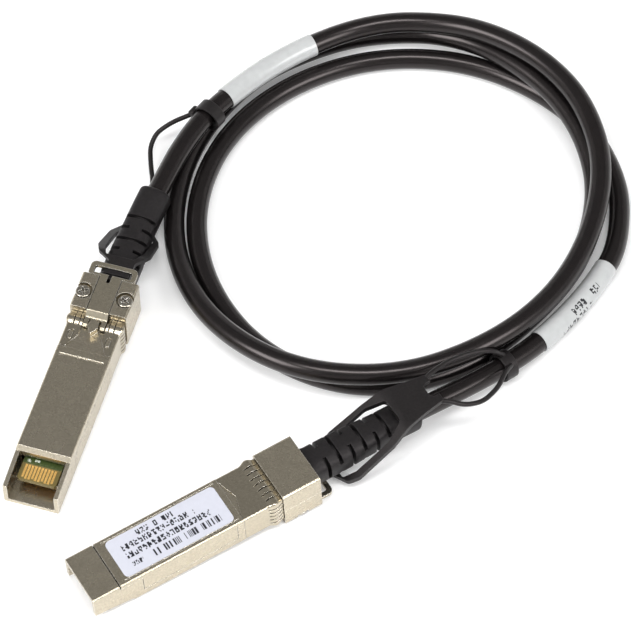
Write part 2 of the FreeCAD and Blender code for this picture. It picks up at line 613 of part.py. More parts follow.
# The three turns, as (angle, corner radius, height) about the coil's centre.
TURN_TOP = [(120, 54.0, 8.7), (95, 58.0, 8.6), (75, 57.9, 10.8), (60, 56.5, 13.4), (45, 55.8, 14.2),
            (30, 55.1, 13.5), (12, 53.2, 11.0), (-10, 49.2, 8.8), (-35, 47.3, 8.4), (-62, 47.6, 8.9),
            (-90, 51.1, 8.6), (-118, 55.2, 8.6), (-146, 56.0, 5.8)]
TURN_LEFT = [(-174, 55.3, 2.6), (-202, 55.5, 2.6), (-230, 57.5, 2.6), (-256, 58.8, 2.6), (-276, 59.4, 3.4),
             (-290, 57.6, 6.0), (-304, 54.8, 8.7), (-320, 53.6, 8.8), (-336, 52.7, 7.2), (-352, 51.4, 2.9)]
TURN_LOW = [(-376, 47.6, 2.6), (-404, 44.6, 2.6), (-432, 48.2, 2.6), (-460, 51.6, 2.6), (-488, 51.8, 2.6),
            (-516, 50.2, 2.6), (-544, 49.5, 2.6), (-572, 49.5, 2.6), (-600, 49.9, 2.6), (-628, 51.8, 2.6),
            (-656, 54.6, 2.6), (-684, 57.4, 2.7), (-708, 57.6, 2.9), (-728, 55.8, 3.0)]


def route_points():
    points = [place_point(place_b, CABLE_START, 0, AXIS_Z), place_point(place_b, HEAD_LENGTH, 0, AXIS_Z)]
    points += [V(x, y, z) + SHIFT for y, x, z in LEAD_B]
    for angle, radius, height in TURN_TOP + TURN_LEFT + TURN_LOW:
        turn = math.radians(angle)
        points.append(COIL_CENTRE + V(radius * math.cos(turn), radius * math.sin(turn), height))
    points += [V(x, y, z) + SHIFT for y, x, z in LEAD_A]
    points += [place_point(place_a, HEAD_LENGTH, 0, AXIS_Z), place_point(place_a, CABLE_START, 0, AXIS_Z)]
    return points


def route_edges(points):
    radii = [0.0] * len(points)
    for i in range(1, len(points) - 1):
        back = points[i - 1] - points[i]
        ahead = points[i + 1] - points[i]
        half_turn = (math.pi - back.getAngle(ahead)) / 2
        radii[i] = 0.45 * min(back.Length, ahead.Length) / math.tan(half_turn)
    print("arc radii", [round(r, 1) for r in radii[1:-1]])
    return rounded_path(points, radii)


def piece_of_route(edges, start, length):
    """The edges between two distances along the route."""
    kept = []
    walked = 0.0
    for edge in edges:
        low = max(start - walked, 0.0)
        high = min(start + length - walked, edge.Length)
        if high - low > 1e-4:
            first = edge.getParameterByLength(low)
            last = edge.getParameterByLength(high)
            kept.append(edge.Curve.toShape(min(first, last), max(first, last)))
        walked += edge.Length
    return kept


def point_on_route(edges, distance):
    walked = 0.0
    for edge in edges:
        if distance <= walked + edge.Length:
            parameter = edge.getParameterByLength(distance - walked)
            return edge.valueAt(parameter), edge.tangentAt(parameter).normalize()
        walked += edge.Length
    raise ValueError("beyond the end of the route")


def tube(edges, radius):
    wire = Part.Wire(Part.__sortEdges__(edges))
    first = wire.OrderedEdges[0]
    start = wire.OrderedVertexes[0].Point
    heading = first.tangentAt(first.FirstParameter)
    if (first.valueAt(first.FirstParameter) - start).Length > 1e-4:
        heading = first.tangentAt(first.LastParameter)
    circle = Part.Wire(Part.makeCircle(radius, start, heading))
    return wire.makePipeShell([circle], True, True)


# ------------------------------------------------------------------- boot


def boot_section(spot, heading, up, width, height, radius):
    side = heading.cross(up).normalize()
    top = side.cross(heading).normalize()
    signs = ((-1, -1), (1, -1), (1, 1), (-1, 1))
    corners = [spot + side * a * width / 2 + top * b * height / 2 for a, b in signs]
    return Part.Wire(rounded_path(corners, [radius] * 4, closed=True))


def boot_slot(spot, heading, up, width, height, side_only):
    """Cutter for one groove of the boot: a frame, or two side notches."""
    reach = 8.0
    slab = Part.makeBox(BOOT_SLOT, 2 * reach, 2 * reach, V(-BOOT_SLOT / 2, -reach, -reach))
    if side_only:
        core = Part.makeBox(3, width - 3.2, 2 * reach + 2, V(-1.5, -(width - 3.2) / 2, -reach - 1))
        band = Part.makeBox(3, 2 * reach + 2, height * 0.5, V(-1.5, -reach - 1, -height * 0.25))
        slab = slab.cut(core).common(band)
    else:
        core_width = width - 2.4
        inner = bar(-1.5, 1.5, core_width / 2, -(height - 0.9) / 2, (height - 0.9) / 2, 1.2)
        slab = slab.cut(inner)
    side = heading.cross(up).normalize()
    top = side.cross(heading).normalize()
    matrix = FreeCAD.Matrix(heading.x, -side.x, top.x, spot.x, heading.y, -side.y, top.y, spot.y,
                            heading.z, -side.z, top.z, spot.z, 0, 0, 0, 1)
    return slab.transformGeometry(matrix)


def strain_boot(place, edges, from_start):
    """Boot over the first part of the cable that leaves this head."""
    up = (place_point(place, 0, 0, 1) - place_point(place, 0, 0, 0)).normalize()
    rear = HEAD_LENGTH - CABLE_START
    total = sum(edge.Length for edge in edges)

    def station(distance):
        if from_start:
            return point_on_route(edges, distance)
        spot, heading = point_on_route(edges, total - distance)
        return spot, heading * -1

    def size_at(share):
        width = BOOT_WIDTH + (BOOT_TIP - BOOT_WIDTH) * min(share / 0.65, 1.0)
        height = BOOT_HEIGHT + (BOOT_TIP - BOOT_HEIGHT) * min(share / 0.65, 1.0)
        return width, height

    wires = []
    for share in (0.01, 0.14, 0.3, 0.46, 0.62, 0.8, 0.97):
        spot, heading = station(rear + share * BOOT_LENGTH)
        width, height = size_at(share)
        wires.append(boot_section(spot, heading, up, width, height, BOOT_CORNER + 1.5 * share))
    spot, heading = station(rear + BOOT_LENGTH)
    wires.append(boot_section(spot, heading, up, BOOT_TIP - 0.7, BOOT_TIP - 0.7, 2.85))
    body = Part.makeLoft(wires, True, True)
    low = AXIS_Z - BOOT_HEIGHT / 2
    neck = bar(REAR_WALL_START, HEAD_LENGTH + 0.6, BOOT_WIDTH / 2, low, low + BOOT_HEIGHT, BOOT_CORNER)
    high = min(low + BOOT_HEIGHT, BLOCK_CAVITY_HIGH) - FIT
    low = BLOCK_CAVITY_LOW + FIT
    flange = bar(BOOT_FLANGE_START, REAR_WALL_START - FIT, BOOT_FLANGE_WIDTH / 2, low, high, 1.0)
    columns = [rod(SCREW_X, side * SCREW_Y, 0, BODY_HEIGHT, SCREW_SHANK_R + 0.9) for side in (-1, 1)]
    root = bar(BOOT_FLANGE_START, REAR_WALL_START + 0.2, BOOT_WIDTH / 2, low, high, BOOT_CORNER + 0.1)
    neck = neck.fuse([flange.cut(columns), root])
    body = body.fuse(place(neck))
    grooves = []
    for i in range(7):
        distance = rear + 2.0 + i * BOOT_PITCH
        spot, heading = station(distance)
        width, height = size_at((distance - rear) / BOOT_LENGTH)
        grooves.append(boot_slot(spot, heading, up, width, height, i % 2 == 1))
    body = body.cut(grooves)
    bore = piece_of_route(edges, 0.0, 60.0) if from_start else piece_of_route(edges, total - 60.0, 60.0)
    return body.cut(tube(bore, CABLE_R)).removeSplitter()


# ---------------------------------------------------------------- pull tab


def tab_profile(rise_end):
    """Side view: along the latch face, up past the boot, over the cable."""
    half = TAB_THICK / 2
    rows = [(TAB_START, TAB_LOW - half, 0.3), (HEAD_LENGTH + 8.1, TAB_LOW - half, 3.0),
            (rise_end + 0.3, TAB_HIGH - half, 4.0), (TAB_END, TAB_HIGH - half, 0.4),
            (TAB_END, TAB_HIGH + half, 0.4), (rise_end - 0.4, TAB_HIGH + half, 5.0),
            (HEAD_LENGTH + 7.4, TAB_LOW + half, 2.0), (TAB_START, TAB_LOW + half, 0.3)]
    return side_shape(rows, -HALF - BEYOND, HALF + BEYOND)


def tab_outline(rise_end, outer, inner, lean, widths, notch):
    """Plan view: tongue, ring round the boot, and the tail with a notch at its end."""
    join = rise_end - 0.8
    shoulder, waist, tip = widths
    start = HEAD_LENGTH + 5.7
    neck_low = TONGUE_SET - TONGUE_HALF
    neck_high = TONGUE_SET + TONGUE_HALF
    low, high = outer
    rows = [(TAB_START, neck_low, 0.4), (start, neck_low, 1.0), (start + 2.0, -low + 1.2, 1.5),
            (start + 4.6, -low, 2.0), (join - 4.0, -low + 0.2, 2.0), (join + 1.8, lean - shoulder, 2.5),
            (join + 6.2, lean - waist, 3.0), (TAB_END, lean - tip, 0.5), (TAB_END, lean + tip, 0.5),
            (join + 6.2, lean + waist, 3.0), (join + 1.2, lean + shoulder, 2.5), (join - 4.6, high - 0.4, 2.0),
            (start + 4.6, high, 2.0), (start + 2.0, high - 1.0, 1.2), (start + 0.4, neck_high, 0.6),
            (TAB_START, neck_high, 0.4)]
    low, high = inner
    hole = [(start + 1.5, 1.2 - low, 0.6), (start + 4.6, -low, 1.5), (join - 4.6, -low, 2.0),
            (join, 2.2 - low, 1.5), (join, high - 2.2, 1.5), (join - 4.6, high - 0.15, 2.0),
            (start + 4.6, high, 1.5), (start + 1.5, high - 1.2, 0.6)]
    plan = plan_shape(rows, -BEYOND * 2, BODY_HEIGHT * 2).cut(plan_shape(hole, -BEYOND * 3, BODY_HEIGHT * 3))
    if notch > 0:
        end = TAB_END + 1
        slot = [(TAB_END - 2.3, lean - notch, 1.2), (end, lean - notch, 0.1), (end, lean + notch, 0.1),
                (TAB_END - 2.3, lean + notch, 1.2)]
        plan = plan.cut(plan_shape(slot, -BEYOND * 3, BODY_HEIGHT * 3))
    return plan


def smooth_tube(corners, radius):
    radii = [0.0] * len(corners)
    for i in range(1, len(corners) - 1):
        back = corners[i - 1] - corners[i]
        ahead = corners[i + 1] - corners[i]
        half_turn = (math.pi - back.getAngle(ahead)) / 2
        radii[i] = 0.45 * min(back.Length, ahead.Length) / math.tan(half_turn)
    return tube(rounded_path(corners, radii), radius)


def pull_tab(place, edges, from_start, sizes, loops, knob, gap, band_set):
    """Tongue under the slider's bail, ring round the boot, loop to a band."""
    rise_end = HEAD_LENGTH + sizes[0]
    tab = tab_profile(rise_end).common(tab_outline(rise_end, *sizes[1:]))
    lip_end = BAIL_END - BAIL_BAR - 0.15
    lip = box(lip_end - 1.2, lip_end, TONGUE_SET - TONGUE_HALF + 0.2, TONGUE_SET + TONGUE_HALF - 0.2,
              SLIDER_OUT + 0.2, TAB_LOW)
    tab = place(tab.fuse(lip))
    origin = place_point(place, 0, 0, 0)
    across = place_point(place, 0, 1, 0) - origin
    upward = place_point(place, 0, 0, 1) - origin
    total = sum(edge.Length for edge in edges)
    start = BAND_AT if from_start else total - BAND_AT - BAND_WIDTH
    inner = CABLE_R + gap
    band = tube(piece_of_route(edges, start, BAND_WIDTH), inner + BAND_WALL)
    hole = tube(piece_of_route(edges, start - 2, BAND_WIDTH + 4), inner)
    offset = across * band_set
    band.translate(offset)
    hole.translate(offset)
    spot, heading = point_on_route(edges, start + BAND_WIDTH / 2)
    spot = spot + offset
    seat = spot + (across * knob[0] + upward * knob[1]) * (inner + BAND_WALL + 0.35)
    peg = Part.makeCylinder(KNOB_R, KNOB_LENGTH, seat - heading * KNOB_LENGTH / 2, heading)
    pieces = [band, peg.makeFillet(0.4, [peg.Edges[0], peg.Edges[2]])]
    for corners in loops:
        points = [place_point(place, HEAD_LENGTH + x, y, AXIS_Z + z) for x, y, z in corners]
        outward = points[-1] - spot
        outward = (outward - heading * outward.dot(heading)).normalize()
        points.append(spot + outward * (inner + BAND_WALL / 2))
        pieces.append(smooth_tube(points, LOOP_R))
    return tab.fuse(pieces).cut(hole).removeSplitter()


# ------------------------------------------------------------------ output


def head_pieces(place, tail):
    """The metal and card pieces, which are the same in both heads."""
    makers = [("base_shell", base_shell), ("top_cover", top_cover), ("emi_collar", emi_collar),
              ("latch_slider", latch_slider), ("latch_spring", latch_spring), ("cover_screws", cover_screws),
              ("paddle_card", paddle_card), ("contact_pads", contact_pads), ("board_parts", board_parts),
              ("wire_cores", wire_cores), ("core_clamp", core_clamp), ("crimp_ferrule", crimp_ferrule),
              ("head_label", head_label)]
    return {name + tail: place(maker()) for name, maker in makers}


def save(name, shape):
    size = shape.optimalBoundingBox(True, False)
    print(f"{name:16s} solids {len(shape.Solids)} volume {shape.Volume:9.2f} valid {shape.isValid()}"
          f"  x {size.XMin:.2f}..{size.XMax:.2f} y {size.YMin:.2f}..{size.YMax:.2f} z {size.ZMin:.2f}..{size.ZMax:.2f}")
    shape.exportStep(f"parts/{name}.step")


os.makedirs("parts", exist_ok=True)
points = route_points()
edges = route_edges(points)
length = sum(edge.Length for edge in edges)
nodes = {}
nodes.update(head_pieces(place_a, "_a"))
nodes.update(head_pieces(place_b, "_b"))
nodes["strain_boot_a"] = strain_boot(place_a, edges, False)
nodes["strain_boot_b"] = strain_boot(place_b, edges, True)
nodes["pull_tab_a"] = pull_tab(place_a, edges, False, TAB_A, LOOP_A, KNOB_A, BAND_GAP_A, 0.0)
nodes["pull_tab_b"] = pull_tab(place_b, edges, True, TAB_B, LOOP_B, KNOB_B, BAND_GAP_B, BAND_SET_B)
nodes["cable_jacket"] = tube(edges, CABLE_R)
sleeve_b = piece_of_route(edges, SLEEVE_B_START, SLEEVE_LENGTH)
sleeve_a = piece_of_route(edges, length - SLEEVE_A_START - SLEEVE_LENGTH, SLEEVE_LENGTH)
nodes["cable_label_b"] = tube(sleeve_b, CABLE_R + SLEEVE_WALL).cut(tube(sleeve_b, CABLE_R))
nodes["cable_label_a"] = tube(sleeve_a, CABLE_R + SLEEVE_WALL).cut(tube(sleeve_a, CABLE_R))
section = math.pi * CABLE_R ** 2
print("route length", round(length, 1), "tube volume", round(nodes["cable_jacket"].Volume, 1),
      "section x length", round(section * length, 1))
for name, shape in nodes.items():
    save(name, shape)
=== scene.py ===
import math

import bpy
from mathutils import Matrix, Vector


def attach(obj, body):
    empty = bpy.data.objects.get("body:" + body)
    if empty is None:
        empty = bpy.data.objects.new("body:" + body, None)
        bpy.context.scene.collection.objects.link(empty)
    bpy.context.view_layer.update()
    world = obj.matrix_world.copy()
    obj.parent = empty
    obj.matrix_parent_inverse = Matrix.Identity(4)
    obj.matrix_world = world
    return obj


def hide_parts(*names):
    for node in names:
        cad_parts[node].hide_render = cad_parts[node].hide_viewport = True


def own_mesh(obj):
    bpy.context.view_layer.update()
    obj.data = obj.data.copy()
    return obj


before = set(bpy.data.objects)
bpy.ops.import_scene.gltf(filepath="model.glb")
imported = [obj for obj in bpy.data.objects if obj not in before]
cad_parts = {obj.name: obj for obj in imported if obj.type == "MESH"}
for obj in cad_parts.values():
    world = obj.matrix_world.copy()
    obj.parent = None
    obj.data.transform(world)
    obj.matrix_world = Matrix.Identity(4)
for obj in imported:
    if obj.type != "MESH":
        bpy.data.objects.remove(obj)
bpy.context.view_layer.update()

MM = 0.001
bpy.ops.object.select_all(action="DESELECT")


# ---------------------------------------------------------------------------------------
# The studio: a white floor that sweeps up into a wall all round, large soft lamps in
# front and above, and a grey room overhead, with a long lens that looks down on the
# part.  None of it is part of the cable.

FLOOR_RADIUS = 2.2          # lengths of the studio are in metres
WALL_RADIUS = 3.2
WALL_HEIGHT = 2.4
SWEEP_STEPS = 8
ROOM_GREY = (0.30, 0.30, 0.30, 1.0)
FLOOR_WHITE = (0.86, 0.86, 0.86, 1.0)
FLOOR_GLOW = 0.20

bpy.ops.mesh.primitive_circle_add(
    vertices=96, radius=FLOOR_RADIUS, fill_type="NGON", location=(0, 0, 0))
studio_floor = bpy.context.object
studio_floor.name = "studio_floor"
bpy.ops.object.mode_set(mode="EDIT")
bpy.ops.mesh.select_mode(type="EDGE")
bpy.ops.mesh.select_all(action="SELECT")
bpy.ops.mesh.region_to_loop()
sweep = WALL_RADIUS - FLOOR_RADIUS
for step in range(1, SWEEP_STEPS + 1):
    before = math.radians(90 * (step - 1) / SWEEP_STEPS)
    after = math.radians(90 * step / SWEEP_STEPS)
    inner = FLOOR_RADIUS + sweep * math.sin(before)
    outer = FLOOR_RADIUS + sweep * math.sin(after)
    rise = sweep * (math.cos(before) - math.cos(after))
    bpy.ops.mesh.extrude_edges_move(TRANSFORM_OT_translate={"value": (0, 0, rise)})
    scale = outer / inner
    bpy.ops.transform.resize(value=(scale, scale, 1), center_override=(0, 0, 0))
bpy.ops.mesh.extrude_edges_move(TRANSFORM_OT_translate={"value": (0, 0, WALL_HEIGHT - sweep)})
bpy.ops.object.mode_set(mode="OBJECT")
bpy.ops.object.shade_smooth()

floor_paint = bpy.data.materials.new("studio_white")
floor_paint.use_nodes = True
nodes = floor_paint.node_tree.nodes
links = floor_paint.node_tree.links
paint = nodes["Principled BSDF"]
paint.inputs["Base Color"].default_value = FLOOR_WHITE
paint.inputs["Roughness"].default_value = 0.9
paint.inputs["Specular IOR Level"].default_value = 0.0
rays = nodes.new("ShaderNodeLightPath")
seen = nodes.new("ShaderNodeMath")
seen.operation = "MAXIMUM"
links.new(rays.outputs["Is Camera Ray"], seen.inputs[0])
links.new(rays.outputs["Is Glossy Ray"], seen.inputs[1])
glow = nodes.new("ShaderNodeMath")
glow.operation = "MULTIPLY"
glow.inputs[1].default_value = FLOOR_GLOW
links.new(seen.outputs[0], glow.inputs[0])
links.new(glow.outputs[0], paint.inputs["Emission Strength"])
paint.inputs["Emission Color"].default_value = (1.0, 1.0, 1.0, 1.0)
studio_floor.data.materials.append(floor_paint)
bpy.ops.object.select_all(action="DESELECT")

room = bpy.data.worlds.new("studio_room")
room.use_nodes = True
room.node_tree.nodes["Background"].inputs["Color"].default_value = ROOM_GREY
bpy.context.scene.world = room

# Each lamp's name, place, side lengths and power in watts.
LAMPS = [
    ("lamp_left", (-1.25, -0.75, 1.15), (0.9, 0.9), 24.0),
    ("lamp_right", (1.2, -0.85, 1.1), (0.8, 0.8), 15.0),
    ("lamp_above", (0.0, -0.35, 1.75), (1.1, 0.35), 15.0),
]
for name, place, sides, power in LAMPS:
    bpy.ops.object.light_add(type="AREA", location=place)
    lamp = bpy.context.object
    lamp.name = name
    lamp.data.shape = "RECTANGLE"
    lamp.data.size = sides[0]
    lamp.data.size_y = sides[1]
    lamp.data.energy = power
    lamp.rotation_euler = Vector(place).to_track_quat("Z", "Y").to_euler()
bpy.ops.object.select_all(action="DESELECT")

SHIFT = Vector((12.13, 13.68, 0.0))     # millimetres, from where the route is laid out
CAMERA_AIM = SHIFT * MM
CAMERA_ELEVATION = math.radians(54.9)
CAMERA_DISTANCE = 0.914
CAMERA_LENS = 215.2         # millimetres, on a sensor 36 mm wide
away = Vector((0.0, -math.cos(CAMERA_ELEVATION), math.sin(CAMERA_ELEVATION)))
bpy.ops.object.camera_add(location=CAMERA_AIM + away * CAMERA_DISTANCE)
camera = bpy.context.object
camera.rotation_euler = away.to_track_quat("Z", "Y").to_euler()
camera.data.sensor_width = 36.0
camera.data.lens = CAMERA_LENS
bpy.context.scene.camera = camera
bpy.context.scene.view_settings.view_transform = "Standard"
bpy.ops.object.select_all(action="DESELECT")


# ---------------------------------------------------------------------------------------
# The cable: two shielded pairs under a round black PVC jacket, extruded in one length.
# It leaves head b, makes a little over two and a half loose turns and goes into head a.

CABLE_RADIUS = 2.6 * MM

# Sizes of a head in millimetres.  Its own frame has x backwards from the nose, z up from
# the latch side to the label side, and the cable's middle line at CABLE_AXIS.
HEAD_LENGTH = 60.3
BLOCK_START = 50.3
CABLE_START = 51.4
CABLE_AXIS = 4.25
BODY_HEIGHT = 8.5
LATCH_STEP = 2.08           # how far the block stands out below the body, on the latch side
LABEL_STEP = 0.96           # and on the label side
REST_X_A = 9.0              # where the front of head a touches the floor

# Where the two heads lie: their headings, and the middle of each block's rear face.
HEADING_A = math.radians(31.0)
HEADING_B = math.radians(73.3)
REAR_A = Vector((-2.013, -48.343, 0.0)) + SHIFT
REAR_B = Vector((-49.072, 2.957, 0.0)) + SHIFT
NOSE_A = REAR_A - Vector((math.cos(HEADING_A), math.sin(HEADING_A), 0.0)) * HEAD_LENGTH
NOSE_B = REAR_B - Vector((math.cos(HEADING_B), math.sin(HEADING_B), 0.0)) * HEAD_LENGTH
PITCH_A = math.atan(LATCH_STEP / (BLOCK_START - REST_X_A))
PITCH_B = math.atan(LABEL_STEP / BLOCK_START)

lift_a = Vector((0, 0, -REST_X_A * math.sin(PITCH_A)))
HEAD_A = (Matrix.Translation(NOSE_A + lift_a) @ Matrix.Rotation(HEADING_A, 4, "Z")
          @ Matrix.Rotation(-PITCH_A, 4, "Y"))
HEAD_B = (Matrix.Translation(NOSE_B) @ Matrix.Rotation(HEADING_B, 4, "Z")
          @ Matrix.Rotation(-PITCH_B, 4, "Y") @ Matrix.Translation((0, 0, BODY_HEIGHT))
          @ Matrix.Rotation(math.pi, 4, "X"))
HEAD_PLACES = {"a": HEAD_A, "b": HEAD_B}

# The cable's route: points as (y, x, height) on the leads, and as (angle, radius,
# height) round the coil.
COIL_CENTRE = Vector((19.0, 27.0, 0.0)) + SHIFT
LEAD_B = [(14.0, -45.6, 5.6), (24.0, -42.1, 6.6), (34.0, -37.8, 7.9), (45.1, -32.95, 9.0),
          (56.6, -25.85, 9.3)]
TURN_TOP = [(120, 54.0, 8.7), (95, 58.0, 8.6), (75, 57.9, 10.8), (60, 56.5, 13.4), (45, 55.8, 14.2),
            (30, 55.1, 13.5), (12, 53.2, 11.0), (-10, 49.2, 8.8), (-35, 47.3, 8.4), (-62, 47.6, 8.9),
            (-90, 51.1, 8.6), (-118, 55.2, 8.6), (-146, 56.0, 5.8)]
TURN_LEFT = [(-174, 55.3, 2.6), (-202, 55.5, 2.6), (-230, 57.5, 2.6), (-256, 58.8, 2.6),
             (-276, 59.4, 3.4), (-290, 57.6, 6.0), (-304, 54.8, 8.7), (-320, 53.6, 8.8),
             (-336, 52.7, 7.2), (-352, 51.4, 2.9)]
TURN_LOW = [(-376, 47.6, 2.6), (-404, 44.6, 2.6), (-432, 48.2, 2.6), (-460, 51.6, 2.6),
            (-488, 51.8, 2.6), (-516, 50.2, 2.6), (-544, 49.5, 2.6), (-572, 49.5, 2.6),
            (-600, 49.9, 2.6), (-628, 51.8, 2.6), (-656, 54.6, 2.6), (-684, 57.4, 2.7),
            (-708, 57.6, 2.9), (-728, 55.8, 3.0)]
LEAD_A = [(8.2, 68.7, 3.0), (-2.2, 61.0, 3.1), (-12.4, 51.6, 3.4), (-22.1, 39.0, 4.7),
          (-32.6, 23.0, 6.6), (-40.7, 10.5, 7.3)]

route = [HEAD_B @ Vector((CABLE_START, 0, CABLE_AXIS)), HEAD_B @ Vector((HEAD_LENGTH, 0, CABLE_AXIS))]
route += [Vector((x, y, z)) + SHIFT for y, x, z in LEAD_B]
for angle, radius, height in TURN_TOP + TURN_LEFT + TURN_LOW:
    turn = math.radians(angle)
    route.append(COIL_CENTRE + Vector((radius * math.cos(turn), radius * math.sin(turn), height)))
route += [Vector((x, y, z)) + SHIFT for y, x, z in LEAD_A]
route += [HEAD_A @ Vector((HEAD_LENGTH, 0, CABLE_AXIS)), HEAD_A @ Vector((CABLE_START, 0, CABLE_AXIS))]

line = bpy.data.curves.new("cable", "CURVE")
line.dimensions = "3D"
line.resolution_u = 16
spline = line.splines.new("NURBS")
spline.points.add(len(route) - 1)
for control, point in zip(spline.points, route):
    control.co = (*(point * MM), 1.0)
spline.order_u = 3
spline.use_endpoint_u = True
cable = bpy.data.objects.new("cable", line)
bpy.context.scene.collection.objects.link(cable)
trace = bpy.data.meshes.new_from_object(cable)
cable_path = [vertex.co.copy() for vertex in trace.vertices]
line.bevel_depth = CABLE_RADIUS
line.bevel_resolution = 8
line.use_fill_caps = True


def shader_group(name, inputs, outputs):
    """An empty node group with float or colour sockets, given as (name, kind, value)."""
    group = bpy.data.node_groups.new(name, "ShaderNodeTree")
    for label, kind, value in inputs:
        socket = group.interface.new_socket(label, in_out="INPUT", socket_type=kind)
        if value is not None:
            socket.default_value = value
    for label, kind in outputs:
        group.interface.new_socket(label, in_out="OUTPUT", socket_type=kind)
    entry = group.nodes.new("NodeGroupInput")
    leaving = group.nodes.new("NodeGroupOutput")
    return group, entry, leaving


# Fine grain: two sizes of noise, put out as a tint from 0 to 1 and as a height.
grain, entry, leaving = shader_group(
    "grain",
    [("Scale", "NodeSocketFloat", 1000.0), ("Coarse", "NodeSocketFloat", 0.15)],
    [("Tint", "NodeSocketFloat"), ("Patches", "NodeSocketFloat"), ("Height", "NodeSocketFloat")])
place = grain.nodes.new("ShaderNodeTexCoord")
fine = grain.nodes.new("ShaderNodeTexNoise")
fine.inputs["Detail"].default_value = 3.0
coarse_scale = grain.nodes.new("ShaderNodeMath")
coarse_scale.operation = "MULTIPLY"
coarse = grain.nodes.new("ShaderNodeTexNoise")
coarse.inputs["Detail"].default_value = 4.0
spread = grain.nodes.new("ShaderNodeMapRange")
spread.inputs["From Min"].default_value = 0.3
spread.inputs["From Max"].default_value = 0.7
grain.links.new(place.outputs["Object"], fine.inputs["Vector"])
grain.links.new(place.outputs["Object"], coarse.inputs["Vector"])
grain.links.new(entry.outputs["Scale"], fine.inputs["Scale"])
grain.links.new(entry.outputs["Scale"], coarse_scale.inputs[0])
grain.links.new(entry.outputs["Coarse"], coarse_scale.inputs[1])
grain.links.new(coarse_scale.outputs[0], coarse.inputs["Scale"])
grain.links.new(fine.outputs[0], spread.inputs["Value"])
grain.links.new(spread.outputs[0], leaving.inputs["Tint"])
grain.links.new(coarse.outputs[0], leaving.inputs["Patches"])
grain.links.new(fine.outputs[0], leaving.inputs["Height"])

# Edge highlights and crevice shade: rounds the shading over sharp corners and marks them from 0 to 1
# for a painted highlight tint, and marks the corners and slots for painted shade.
edges, entry, leaving = shader_group(
    "edge_highlights_and_shade", [("Radius", "NodeSocketFloat", 0.0001)],
    [("Mask", "NodeSocketFloat"), ("Painted Shade", "NodeSocketFloat"), ("Normal", "NodeSocketVector")])
corner = edges.nodes.new("ShaderNodeBevel")
corner.samples = 4
shape = edges.nodes.new("ShaderNodeNewGeometry")
turned = edges.nodes.new("ShaderNodeVectorMath")
turned.operation = "DOT_PRODUCT"
# Edges where the rounded normal turns away from the face's own get a painted highlight tint.
edge_highlight = edges.nodes.new("ShaderNodeMapRange")
edge_highlight.inputs["From Min"].default_value = 0.995
edge_highlight.inputs["From Max"].default_value = 0.80
# Occlusion over a short distance marks corners and slots for painted shade.
near = edges.nodes.new("ShaderNodeAmbientOcclusion")
near.samples = 6
near.inputs["Distance"].default_value = 0.0006
shade_ramp = edges.nodes.new("ShaderNodeMapRange")
shade_ramp.inputs["From Min"].default_value = 0.75
shade_ramp.inputs["From Max"].default_value = 0.15
edges.links.new(near.outputs["AO"], shade_ramp.inputs["Value"])
edges.links.new(shade_ramp.outputs[0], leaving.inputs["Painted Shade"])
edges.links.new(entry.outputs["Radius"], corner.inputs["Radius"])
edges.links.new(corner.outputs[0], turned.inputs[0])
edges.links.new(shape.outputs["Normal"], turned.inputs[1])
edges.links.new(turned.outputs["Value"], edge_highlight.inputs["Value"])
edges.links.new(edge_highlight.outputs[0], leaving.inputs["Mask"])
edges.links.new(corner.outputs[0], leaving.inputs["Normal"])


def mix_colours(tree, factor, first, second):
    """A blend of two colours by a socket, each a colour or a socket; gives its output."""
    node = tree.nodes.new("ShaderNodeMix")
    node.data_type = "RGBA"
    tree.links.new(factor, node.inputs[0])
    for socket, colour in ((node.inputs[6], first), (node.inputs[7], second)):
        if isinstance(colour, tuple):
            socket.default_value = (*colour, 1.0)
        else:
            tree.links.new(colour, socket)
    return node.outputs[2]


CREVICE_SHADE_LEVEL = 0.3            # brightness of the painted shade in corners and slots, as a share of the finish's darker tint
ROUGH_SPREAD = 0.15         # how far patches are glossier or duller than the finish


